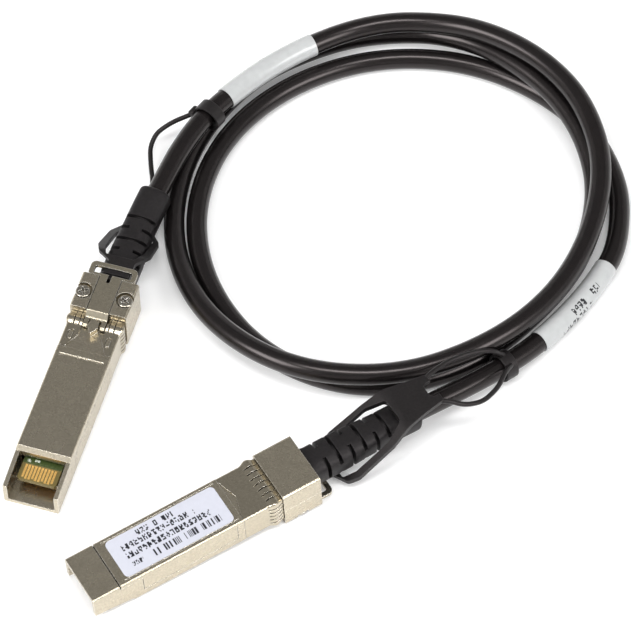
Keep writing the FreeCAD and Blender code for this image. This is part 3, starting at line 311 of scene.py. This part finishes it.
def new_finish(name, colour, dark, highlight_colour, rough, metal=0.0, scale=1500.0, radius=0.0001,
               bump=0.1, depth=0.00002, coarse=0.15, crevice_shade=0.5):
    """A grained finish: two blended tints, a painted highlight tint on its edges, and painted shade in
    its corners.
    The grain's scale is in noise cells to a metre; radius, of the edges, and depth, of
    the bump, are in metres."""
    finish = bpy.data.materials.new(name)
    finish.use_nodes = True
    tree = finish.node_tree
    shader = tree.nodes["Principled BSDF"]
    shader.inputs["Metallic"].default_value = metal
    grained = tree.nodes.new("ShaderNodeGroup")
    grained.node_tree = grain
    grained.inputs["Scale"].default_value = scale
    grained.inputs["Coarse"].default_value = coarse
    edged = tree.nodes.new("ShaderNodeGroup")
    edged.node_tree = edges
    edged.inputs["Radius"].default_value = radius
    shade_amount = tree.nodes.new("ShaderNodeMath")
    shade_amount.operation = "MULTIPLY"
    shade_amount.inputs[1].default_value = crevice_shade
    tree.links.new(edged.outputs["Painted Shade"], shade_amount.inputs[0])
    tint = mix_colours(tree, grained.outputs["Tint"], dark, colour)
    # Painted highlight: sharp edges are blended towards a lighter colour.
    highlighted = mix_colours(tree, edged.outputs["Mask"], tint, highlight_colour)
    # Painted shade: corners and slots are darkened by the occlusion mask.
    shaded_colour = mix_colours(tree, shade_amount.outputs[0], highlighted, tuple(crevice_shade * CREVICE_SHADE_LEVEL * c for c in dark))
    tree.links.new(shaded_colour, shader.inputs["Base Color"])
    gloss = tree.nodes.new("ShaderNodeMapRange")
    gloss.inputs["To Min"].default_value = rough * (1 - ROUGH_SPREAD)
    gloss.inputs["To Max"].default_value = rough * (1 + ROUGH_SPREAD)
    tree.links.new(grained.outputs["Patches"], gloss.inputs["Value"])
    tree.links.new(gloss.outputs[0], shader.inputs["Roughness"])
    relief = tree.nodes.new("ShaderNodeBump")
    relief.inputs["Strength"].default_value = bump
    relief.inputs["Distance"].default_value = depth
    tree.links.new(grained.outputs["Height"], relief.inputs["Height"])
    tree.links.new(edged.outputs["Normal"], relief.inputs["Normal"])
    tree.links.new(relief.outputs[0], shader.inputs["Normal"])
    return finish


def set_gloss(finish, level, tint):
    """Sets how strongly a black plastic reflects, and in what tint."""
    shader = finish.node_tree.nodes["Principled BSDF"]
    shader.inputs["Specular IOR Level"].default_value = level
    shader.inputs["Specular Tint"].default_value = (*tint, 1.0)


jacket_black = new_finish(
    "jacket_black", (0.0075, 0.0062, 0.0062), (0.0045, 0.0038, 0.0038), (0.010, 0.009, 0.009), 0.25,
    scale=900.0, bump=0.14, depth=0.00003)
set_gloss(jacket_black, 0.42, (1.0, 0.90, 0.89))
line.materials.append(jacket_black)
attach(cable, "cable_assembly")
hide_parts("cable_jacket")


# ---------------------------------------------------------------------------------------
# The two cable labels: white wrap labels under clear shrink tube, one near each head.
# Each is a thin tube that follows the cable, printed on the side that shows.

SLEEVE_WALL = 0.25 * MM
SLEEVE_GAP = 0.01 * MM      # between the sleeve and the jacket
SLEEVE_LENGTH = 28.0 * MM
SLEEVE_B_START = 72.4 * MM  # along the cable from its end in each head
SLEEVE_A_START = 77.0 * MM
PRINT_FACES = Vector((0.0, -0.35, 1.0))


def stretch_of(path, start, length):
    """The points of a path between two distances along it, ends worked out exactly."""
    kept = []
    walked = 0.0
    for before, after in zip(path, path[1:]):
        run = (after - before).length
        for at in (start, start + length):
            if walked <= at < walked + run:
                kept.append(before.lerp(after, (at - walked) / run))
                if at == start:
                    kept.append(after.copy())
        if start < walked + run and walked + run < start + length and (not kept or kept[-1] != after):
            kept.append(after.copy())
        walked += run
    return kept


def add_math(tree, operation, first, second=None):
    """A maths node whose two values are numbers or sockets; gives its output socket."""
    node = tree.nodes.new("ShaderNodeMath")
    node.operation = operation
    for socket, value in zip(node.inputs, (first, second)):
        if value is None:
            continue
        if isinstance(value, (int, float)):
            socket.default_value = value
        else:
            tree.links.new(value, socket)
    return node.outputs[0]


def inside(tree, value, low, high):
    """1 between two limits, which are numbers or sockets."""
    above = add_math(tree, "GREATER_THAN", value, low)
    below = add_math(tree, "LESS_THAN", value, high)
    return add_math(tree, "MULTIPLY", above, below)


# A row of print: cells as wide as letters, each filled with a few random strokes.  Where
# Lines is 1 they are narrow stripes over the row's whole height.  Lengths are in
# millimetres.
FLOAT = "NodeSocketFloat"
LETTER_COLUMNS = 4.0        # stroke widths in a cell
INKED_COLUMNS = 2.5         # columns whose number is below this may hold ink
BLANK_STROKES = 0.33        # shares of strokes and of cells that stay bare
BLANK_LETTERS = 0.12
ROW_SEED = 31.0             # sets each row's random strokes apart from the last row's
print_row, entry, leaving = shader_group(
    "print_row",
    [("Along", FLOAT, None), ("Across", FLOAT, None), ("First", FLOAT, 0.0), ("Last", FLOAT, 10.0),
     ("Middle", FLOAT, 0.0), ("Height", FLOAT, 1.5), ("Cell", FLOAT, 1.2), ("Lines", FLOAT, 5.0),
     ("Seed", FLOAT, 0.0)],
    [("Ink", FLOAT)])
half = add_math(print_row, "MULTIPLY", entry.outputs["Height"], 0.5)
low = add_math(print_row, "SUBTRACT", entry.outputs["Middle"], half)
high = add_math(print_row, "ADD", entry.outputs["Middle"], half)
area = add_math(print_row, "MULTIPLY", inside(print_row, entry.outputs["Across"], low, high),
                inside(print_row, entry.outputs["Along"], entry.outputs["First"], entry.outputs["Last"]))
cells = add_math(print_row, "DIVIDE", entry.outputs["Along"], entry.outputs["Cell"])
letter = add_math(print_row, "FLOOR", cells)
share = add_math(print_row, "FRACT", cells)
column = add_math(print_row, "FLOOR", add_math(print_row, "MULTIPLY", share, LETTER_COLUMNS))
rise = add_math(print_row, "DIVIDE", add_math(print_row, "SUBTRACT", entry.outputs["Across"], low),
                entry.outputs["Height"])
level = add_math(print_row, "FLOOR", add_math(print_row, "MULTIPLY", rise, entry.outputs["Lines"]))
spot = print_row.nodes.new("ShaderNodeCombineXYZ")
print_row.links.new(add_math(print_row, "ADD", letter, entry.outputs["Seed"]), spot.inputs[0])
print_row.links.new(column, spot.inputs[1])
print_row.links.new(level, spot.inputs[2])
strokes = print_row.nodes.new("ShaderNodeTexWhiteNoise")
strokes.noise_dimensions = "3D"
print_row.links.new(spot.outputs[0], strokes.inputs["Vector"])
stroke = add_math(print_row, "GREATER_THAN", strokes.outputs["Value"], BLANK_STROKES)
spaces = print_row.nodes.new("ShaderNodeTexWhiteNoise")
spaces.noise_dimensions = "1D"
print_row.links.new(add_math(print_row, "ADD", letter, entry.outputs["Seed"]), spaces.inputs["W"])
filled = add_math(print_row, "GREATER_THAN", spaces.outputs["Value"], BLANK_LETTERS)
kept = add_math(print_row, "LESS_THAN", column, INKED_COLUMNS)
marks = add_math(print_row, "MULTIPLY", add_math(print_row, "MULTIPLY", stroke, filled), kept)
print_row.links.new(add_math(print_row, "MULTIPLY", marks, area), leaving.inputs["Ink"])


def print_rows(finish, along, across, rows, ink_colour):
    """Lays rows of print, as (first, last, middle, height, cell, lines), over a finish."""
    tree = finish.node_tree
    ink = None
    for number, values in enumerate(rows):
        row = tree.nodes.new("ShaderNodeGroup")
        row.node_tree = print_row
        for label, value in zip(("First", "Last", "Middle", "Height", "Cell", "Lines"), values):
            row.inputs[label].default_value = value
        row.inputs["Seed"].default_value = ROW_SEED * number
        tree.links.new(along, row.inputs["Along"])
        tree.links.new(across, row.inputs["Across"])
        ink = row.outputs["Ink"] if ink is None else add_math(tree, "MAXIMUM", ink, row.outputs["Ink"])
    base = tree.nodes["Principled BSDF"].inputs["Base Color"]
    tree.links.new(mix_colours(tree, ink, base.links[0].from_socket, ink_colour), base)


def print_frame(finish, matrix):
    """Object coordinates taken into a frame whose units are millimetres: three sockets."""
    tree = finish.node_tree
    spot = tree.nodes.new("ShaderNodeTexCoord")
    lay = tree.nodes.new("ShaderNodeMapping")
    lay.vector_type = "TEXTURE"
    lay.inputs["Location"].default_value = matrix.translation * MM
    lay.inputs["Rotation"].default_value = matrix.to_euler("XYZ")
    lay.inputs["Scale"].default_value = (MM, MM, MM)
    tree.links.new(spot.outputs["Object"], lay.inputs["Vector"])
    split = tree.nodes.new("ShaderNodeSeparateXYZ")
    tree.links.new(lay.outputs[0], split.inputs[0])
    return split.outputs


SLEEVE_INK = (0.015, 0.015, 0.018)
# Print on the wraps, as (start, end, middle, height, cell, lines), from the wrap's middle
# and in millimetres, apart from the number of lines.
SLEEVE_PRINT = {"b": [(-7.0, 0.5, 2.75, 0.9, 1.3, 4.0)],
                "a": [(-7.0, 3.4, 0.95, 1.8, 1.3, 5.0), (-3.0, 8.6, 2.75, 1.1, 1.3, 4.0)]}

total = sum((b - a).length for a, b in zip(cable_path, cable_path[1:]))
for end, start in (("b", SLEEVE_B_START), ("a", total - SLEEVE_A_START - SLEEVE_LENGTH)):
    wrap = bpy.data.curves.new("cable_sleeve_" + end, "CURVE")
    wrap.dimensions = "3D"
    stretch = stretch_of(cable_path, start, SLEEVE_LENGTH)
    run = wrap.splines.new("POLY")
    run.points.add(len(stretch) - 1)
    for control, point in zip(run.points, stretch):
        control.co = (*point, 1.0)
    wrap.bevel_depth = CABLE_RADIUS + SLEEVE_WALL
    wrap.bevel_resolution = 10
    sleeve = bpy.data.objects.new("cable_sleeve_" + end, wrap)
    bpy.context.scene.collection.objects.link(sleeve)
    bpy.context.view_layer.objects.active = sleeve
    sleeve.select_set(True)
    bpy.ops.object.convert(target="MESH")
    sleeve = bpy.context.object
    wall = sleeve.modifiers.new("wall", "SOLIDIFY")
    wall.thickness = SLEEVE_WALL - SLEEVE_GAP
    wall.offset = -1.0
    bpy.ops.object.modifier_apply(modifier="wall")
    bpy.ops.object.shade_smooth_by_angle(angle=math.radians(40))
    ahead = (stretch[-1] - stretch[0]).normalized()
    side = PRINT_FACES.cross(ahead).normalized()
    lie = Matrix((ahead, side, ahead.cross(side).normalized())).transposed().to_4x4()
    lie.translation = stretch[len(stretch) // 2] / MM
    sleeve_white = new_finish(
        "sleeve_white_" + end, (0.52, 0.53, 0.53), (0.47, 0.48, 0.48), (0.75, 0.75, 0.75), 0.30,
        scale=500.0, bump=0.10, depth=0.00003)
    sleeve_white.node_tree.nodes["Principled BSDF"].inputs["Coat Weight"].default_value = 0.45
    along, across, _ = print_frame(sleeve_white, lie)
    print_rows(sleeve_white, along, across, SLEEVE_PRINT[end], SLEEVE_INK)
    sleeve.data.materials.clear()
    sleeve.data.materials.append(sleeve_white)
    sleeve.select_set(False)
    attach(sleeve, "cable_assembly")
    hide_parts("cable_label_" + end)


# ---------------------------------------------------------------------------------------
# The plug housings: zinc castings plated with nickel, a base shell and a cover whose
# rear blocks meet behind the collar.  The castings keep a fine pebbled skin.

nickel = new_finish(
    "nickel_casting", (0.59, 0.53, 0.415), (0.45, 0.40, 0.31), (0.95, 0.91, 0.82), 0.27,
    metal=1.0, scale=2300.0, radius=0.0002, bump=0.38, depth=0.00004, crevice_shade=0.9)


def dress(node, finish):
    """Gives a node that keeps its own shape its finish."""
    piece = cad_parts[node]
    piece.data.materials.clear()
    piece.data.materials.append(finish)


for end in "ab":
    dress("base_shell_" + end, nickel)
    dress("top_cover_" + end, nickel)


# ---------------------------------------------------------------------------------------
# The ground collars: thin spring steel sheet, folded round the body and nickel plated,
# with a row of fingers that bulge out to touch the cage.

collar_sheet = new_finish(
    "collar_sheet", (0.56, 0.50, 0.39), (0.46, 0.41, 0.315), (0.97, 0.94, 0.87), 0.20,
    metal=1.0, scale=2300.0, radius=0.0001, bump=0.3, crevice_shade=0.95)
for end in "ab":
    dress("emi_collar_" + end, collar_sheet)


# ---------------------------------------------------------------------------------------
# The latch sliders: a stamped and plated steel plate that lies in the block's channel
# and is pulled back by the tab.  Its two prongs press the cage's tongue off the boss.

slider_plate = new_finish(
    "slider_plate", (0.60, 0.54, 0.42), (0.47, 0.42, 0.32), (0.97, 0.94, 0.87), 0.24,
    metal=1.0, scale=2300.0, radius=0.00014, bump=0.35, crevice_shade=0.95)
for end in "ab":
    dress("latch_slider_" + end, slider_plate)


# ---------------------------------------------------------------------------------------
# The latch springs: fine steel wire wound into a small compression coil that pushes the
# slider home.  Each lies between the slider's tang and a stop in the block, and is
# pressed shorter as the tab is pulled.

SPRING_START = BLOCK_START + 3.35
SPRING_END = BLOCK_START + 8.05
SPRING_HEIGHT = -0.6
SPRING_RADIUS = 0.39        # to the middle of the wire
SPRING_TURNS = 8
WIRE_RADIUS = 0.1
WIRE_SIDES = 8
STEPS_PER_TURN = 20

spring_wire = new_finish(
    "spring_wire", (0.55, 0.54, 0.52), (0.45, 0.44, 0.42), (0.8, 0.8, 0.78), 0.25,
    metal=1.0, scale=4000.0, radius=0.00002, bump=0.05)
for end, head in HEAD_PLACES.items():
    bpy.ops.mesh.primitive_circle_add(
        vertices=WIRE_SIDES, radius=WIRE_RADIUS, fill_type="NOTHING",
        location=(SPRING_RADIUS, 0, 0), rotation=(math.radians(90), 0, 0))
    spring = bpy.context.object
    spring.name = "coil_spring_" + end
    bpy.ops.object.transform_apply(location=True, rotation=True, scale=True)
    wind = spring.modifiers.new("wind", "SCREW")
    wind.iterations = SPRING_TURNS
    wind.steps = STEPS_PER_TURN
    wind.render_steps = STEPS_PER_TURN
    wind.screw_offset = (SPRING_END - SPRING_START - 2 * WIRE_RADIUS) / SPRING_TURNS
    bpy.ops.object.modifier_apply(modifier="wind")
    bpy.ops.object.mode_set(mode="EDIT")
    bpy.ops.mesh.select_all(action="SELECT")
    bpy.ops.mesh.fill_holes(sides=WIRE_SIDES)
    bpy.ops.mesh.select_all(action="SELECT")
    bpy.ops.mesh.normals_make_consistent(inside=False)
    bpy.ops.object.mode_set(mode="OBJECT")
    spring.data.transform(Matrix.Scale(MM, 4) @ head
                          @ Matrix.Translation((SPRING_START + WIRE_RADIUS, 0, SPRING_HEIGHT))
                          @ Matrix.Rotation(math.radians(90), 4, "Y"))
    bpy.ops.object.shade_smooth_by_angle(angle=math.radians(50))
    spring.data.materials.append(spring_wire)
    spring.select_set(False)
    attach(spring, "cable_assembly")
    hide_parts("latch_spring_" + end)
    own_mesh(spring)


# ---------------------------------------------------------------------------------------
# The cover screws: small steel screws that hold the cover to the base shell.

screw_steel = new_finish(
    "screw_steel", (0.58, 0.54, 0.46), (0.36, 0.33, 0.27), (1.0, 0.98, 0.93), 0.16,
    metal=1.0, scale=2600.0, radius=0.00022, bump=0.5, depth=0.00006, crevice_shade=1.0)
for end in "ab":
    dress("cover_screws_" + end, screw_steel)


# ---------------------------------------------------------------------------------------
# The head labels: white film stickers on the covers, printed with plain bars in rows
# where words would be and a field of narrow stripes.

INK = (0.010, 0.010, 0.016)
PAPER = (0.56, 0.57, 0.64)
PAPER_SHADE = 0.96          # the paper's darker tint, as a share of the lighter one
# Print as (start, end, middle across the head, height, cell, lines), in millimetres apart
# from the number of lines.  The last two rows are the field of narrow stripes.
HEAD_PRINT = [(17.2, 26.8, 3.9, 1.5, 1.15, 4.0), (12.4, 31.4, 1.85, 1.6, 1.2, 4.0),
              (12.4, 34.6, -0.45, 1.6, 1.2, 4.0), (12.6, 15.4, -3.0, 1.2, 0.9, 4.0),
              (17.2, 26.3, -3.0, 1.9, 0.83, 1.0), (26.3, 35.8, -3.0, 1.9, 0.71, 1.0)]

for end in "ab":
    sticker = new_finish(
        "sticker_" + end, PAPER, tuple(PAPER_SHADE * c for c in PAPER), (0.82, 0.82, 0.85), 0.35,
        scale=900.0, radius=0.00005, bump=0.02)
    along, across, _ = print_frame(sticker, HEAD_PLACES[end])
    print_rows(sticker, along, across, HEAD_PRINT, INK)
    dress("head_label_" + end, sticker)


# ---------------------------------------------------------------------------------------
# The paddle cards: green glass epoxy circuit cards with gold plated fingers at the nose,
# a memory chip and small capacitors further in.

finger_gold = new_finish(
    "finger_gold", (1.0, 0.62, 0.20), (0.85, 0.50, 0.14), (1.0, 0.86, 0.52), 0.24,
    metal=0.6, scale=3000.0, radius=0.00003, bump=0.1)
chip_black = new_finish(
    "chip_black", (0.03, 0.03, 0.032), (0.02, 0.02, 0.022), (0.08, 0.08, 0.08), 0.5,
    scale=2500.0, radius=0.00005, bump=0.2)
SILK_WHITE = (0.62, 0.66, 0.58)
OLIVE = (0.15, 0.115, 0.035)    # the bare laminate round the fingers
OLIVE_END = 8.5                 # millimetres behind the nose
# Short bars and dots in white ink between the fingers and the housing's edge.
BOARD_PRINT = [(8.9, 9.7, -3.4, 0.9, 0.35, 3.0), (9.3, 10.1, -1.5, 1.2, 0.4, 3.0),
               (10.4, 11.4, 1.6, 1.8, 0.5, 3.0), (12.6, 13.2, -2.6, 2.4, 0.3, 5.0)]
for end in "ab":
    board_green = new_finish(
        "board_green_" + end, (0.055, 0.080, 0.020), (0.028, 0.045, 0.012), (0.50, 0.42, 0.18), 0.34,
        scale=2600.0, radius=0.00012, bump=0.15, coarse=0.3)
    along, across, _ = print_frame(board_green, HEAD_PLACES[end])
    print_rows(board_green, along, across, BOARD_PRINT, SILK_WHITE)
    tree = board_green.node_tree
    base = tree.nodes["Principled BSDF"].inputs["Base Color"]
    front = add_math(tree, "LESS_THAN", along, OLIVE_END)
    tree.links.new(mix_colours(tree, front, base.links[0].from_socket, OLIVE), base)
    dress("paddle_card_" + end, board_green)
    dress("contact_pads_" + end, finger_gold)
    dress("board_parts_" + end, chip_black)


# ---------------------------------------------------------------------------------------
# Inside each head: the four insulated cores, the moulded block that grips them and the
# crimped ferrule on the jacket's end.

core_skin = new_finish(
    "core_skin", (0.30, 0.36, 0.52), (0.26, 0.32, 0.47), (0.45, 0.5, 0.62), 0.4,
    scale=1500.0, radius=0.00005)
grip_resin = new_finish(
    "grip_resin", (0.05, 0.05, 0.052), (0.035, 0.035, 0.037), (0.12, 0.12, 0.12), 0.5,
    scale=1500.0, radius=0.0001, bump=0.2)
ferrule_tin = new_finish(
    "ferrule_tin", (0.58, 0.56, 0.52), (0.46, 0.44, 0.40), (0.85, 0.84, 0.8), 0.3,
    metal=1.0, scale=2000.0, radius=0.0001, bump=0.15)
for end in "ab":
    dress("wire_cores_" + end, core_skin)
    dress("core_clamp_" + end, grip_resin)
    dress("crimp_ferrule_" + end, ferrule_tin)


# ---------------------------------------------------------------------------------------
# The strain boots: soft black rubber moulded round the cable and held in the block's
# rear wall.  Slots over the top and bottom take turns with notches in the sides, so that
# the boot bends evenly.

BOOT_ROOT = 58.2            # places are in millimetres behind the head's nose
BOOT_MOUTH = 60.5           # the block's rear wall
BOOT_END = 90.6
BOOT_BORE = 2.61
BOOT_HALF_WIDTH = 4.48
BOOT_HALF_HEIGHT = 3.48
ROOT_SQUARENESS = 5.0       # 2 is an ellipse, more is squarer
BOOT_SQUARENESS = 3.0
SHOULDER = 1.2              # over this length the boot changes shape behind the wall
TALLER = 0.22
TAPER_START = 70.0
TAPER_LENGTH = 10.0
TAPER_WIDTH = 0.45          # lost on each side
TAPER_HEIGHT = 0.35
END_ROUNDING = 1.1
END_STEPS = 5
SLOT_WIDTH = 0.95
SLOT_FLOOR = 2.72           # radius that a slot or notch is cut down to
SLOT_WALL = 0.06
SLOT_RIM = 0.12             # a station this far outside keeps the slot's rim crisp
SLOT_CLEAR = 0.3            # and the skin's other stations keep this far from it
TOP_SLOTS = (67.7, 74.4, 81.1)
SIDE_NOTCHES = (64.3, 71.1, 77.8)
TOP_REACH = 0.5             # a slot takes what lies above this share of the half height
SIDE_REACH = 0.38
SKIN_STEP = 0.9
BORE_STEP = 1.5
BORE_SQUARENESS = 2.0
RING_CORNERS = 72           # corners of one cross section
AXIS_BLEND = 6.0            # the boot leaves the head's axis for the cable's over this
TANGENT_REACH = 0.4         # the middle line's direction is taken over this on each side


def path_spot(path, distance):
    """The point at a distance along a path."""
    walked = 0.0
    for before, after in zip(path, path[1:]):
        run = (after - before).length
        if walked + run >= distance:
            return before.lerp(after, (distance - walked) / run)
        walked += run
    return path[-1].copy()


def boot_size(x):
    """Half width, half height and squareness of the boot at a place."""
    if x < BOOT_MOUTH:
        return BOOT_HALF_WIDTH, BOOT_HALF_HEIGHT, ROOT_SQUARENESS
    share = min((x - BOOT_MOUTH) / SHOULDER, 1.0)
    slim = max(0.0, min((x - TAPER_START) / TAPER_LENGTH, 1.0))
    return (BOOT_HALF_WIDTH - TAPER_WIDTH * slim,
            BOOT_HALF_HEIGHT + (TALLER - TAPER_HEIGHT * slim) * share,
            ROOT_SQUARENESS - (ROOT_SQUARENESS - BOOT_SQUARENESS) * share)


def boot_stations():
    """Stations as (place, half width, half height, squareness, cut), out along the skin,
    over the rounded end and back along the bore."""
    places = [BOOT_ROOT, BOOT_MOUTH]
    spot = BOOT_MOUTH + 0.5
    while spot < BOOT_END - END_ROUNDING - 0.5:
        places.append(spot)
        spot += SKIN_STEP
    cuts = {}
    for kind, spots in (("top", TOP_SLOTS), ("side", SIDE_NOTCHES)):
        for middle in spots:
            low, high = middle - SLOT_WIDTH / 2, middle + SLOT_WIDTH / 2
            places = [spot for spot in places if not low - SLOT_CLEAR < spot < high + SLOT_CLEAR]
            for place in (low + SLOT_WALL, high - SLOT_WALL):
                cuts[place] = kind
            places += [low - SLOT_RIM, low, low + SLOT_WALL, high - SLOT_WALL, high, high + SLOT_RIM]
    stations = [(place, *boot_size(place), cuts.get(place)) for place in sorted(places)]
    wide, tall, square = boot_size(BOOT_END)
    for step in range(END_STEPS + 1):
        turn = math.radians(90 * step / END_STEPS)
        inset = END_ROUNDING * (1 - math.cos(turn))
        place = BOOT_END - END_ROUNDING * (1 - math.sin(turn))
        stations.append((place, wide - inset, tall - inset, square, None))
    spot = BOOT_END
    while spot > BOOT_ROOT:
        stations.append((spot, BOOT_BORE, BOOT_BORE, BORE_SQUARENESS, None))
        spot -= BORE_STEP
    stations.append((BOOT_ROOT, BOOT_BORE, BOOT_BORE, BORE_SQUARENESS, None))
    return stations


def boot_corner(angle, wide, tall, square, cut):
    """A corner of one cross section, as (across, up); cuts pull it in towards the bore."""
    c, s = math.cos(angle), math.sin(angle)
    reach = (abs(c / wide) ** square + abs(s / tall) ** square) ** (-1 / square)
    across, up = reach * c, reach * s
    in_slot = cut == "top" and abs(up) > TOP_REACH * tall
    in_notch = cut == "side" and abs(across) > SIDE_REACH * wide
    if in_slot or in_notch:
        across, up = SLOT_FLOOR * c, SLOT_FLOOR * s
    return across, up


def boot_line(head, path, x):
    """A point on the boot's middle line: the head's axis, which turns into the cable's."""
    on_axis = head @ Vector((x, 0.0, CABLE_AXIS)) * MM
    share = max(0.0, min((x - HEAD_LENGTH) / AXIS_BLEND, 1.0))
    return on_axis.lerp(path_spot(path, (x - CABLE_START) * MM), share * share * (3 - 2 * share))


boot_rubber = new_finish(
    "boot_rubber", (0.010, 0.009, 0.0095), (0.005, 0.0045, 0.0048), (0.022, 0.021, 0.021), 0.50,
    scale=1600.0, radius=0.0002, bump=0.45, depth=0.00005, crevice_shade=1.0)
set_gloss(boot_rubber, 0.32, (1.0, 0.93, 0.93))
stations = boot_stations()
for end, path in (("b", cable_path), ("a", cable_path[::-1])):
    head = HEAD_PLACES[end]
    head_up = (head.to_3x3() @ Vector((0.0, 0.0, 1.0))).normalized()
    bpy.ops.mesh.primitive_circle_add(
        vertices=RING_CORNERS, radius=1.0, fill_type="NOTHING", location=(0, 0, 0))
    boot = bpy.context.object
    boot.name = "rubber_boot_" + end
    bpy.ops.object.mode_set(mode="EDIT")
    bpy.ops.mesh.select_all(action="SELECT")
    for _ in stations[1:]:
        bpy.ops.mesh.extrude_edges_move(TRANSFORM_OT_translate={"value": (0, 0, 1)})
    bpy.ops.object.mode_set(mode="OBJECT")
    frames = []
    for x, *_ in stations:
        before = boot_line(head, path, x - TANGENT_REACH)
        after = boot_line(head, path, x + TANGENT_REACH)
        ahead = (after - before).normalized()
        side = head_up.cross(ahead).normalized()
        frames.append((boot_line(head, path, x), side, ahead.cross(side).normalized()))
    for vertex in boot.data.vertices:
        number = round(vertex.co.z)
        middle, side, upward = frames[number]
        across, up = boot_corner(math.atan2(vertex.co.y, vertex.co.x), *stations[number][1:])
        vertex.co = middle + side * (across * MM) + upward * (up * MM)
    bpy.ops.object.mode_set(mode="EDIT")
    bpy.ops.mesh.select_mode(type="EDGE")
    bpy.ops.mesh.select_all(action="DESELECT")
    bpy.ops.mesh.select_non_manifold()
    bpy.ops.mesh.bridge_edge_loops()
    bpy.ops.mesh.select_all(action="SELECT")
    bpy.ops.mesh.normals_make_consistent(inside=False)
    bpy.ops.object.mode_set(mode="OBJECT")
    bpy.ops.object.shade_smooth_by_angle(angle=math.radians(38))
    boot.data.materials.append(boot_rubber)
    boot.select_set(False)
    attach(boot, "cable_assembly")
    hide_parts("strain_boot_" + end)


# ---------------------------------------------------------------------------------------
# The pull tabs: soft black plastic, one moulding with the tongue under the slider's
# bail, the ring round the boot, the tail, the loop and the band round the cable.

tab_plastic = new_finish(
    "tab_plastic", (0.011, 0.0098, 0.0100), (0.006, 0.0055, 0.0056), (0.028, 0.026, 0.026), 0.42,
    scale=1700.0, radius=0.00025, bump=0.3, depth=0.00004, crevice_shade=0.9)
set_gloss(tab_plastic, 0.34, (1.0, 0.92, 0.92))
for end in "ab":
    dress("pull_tab_" + end, tab_plastic)
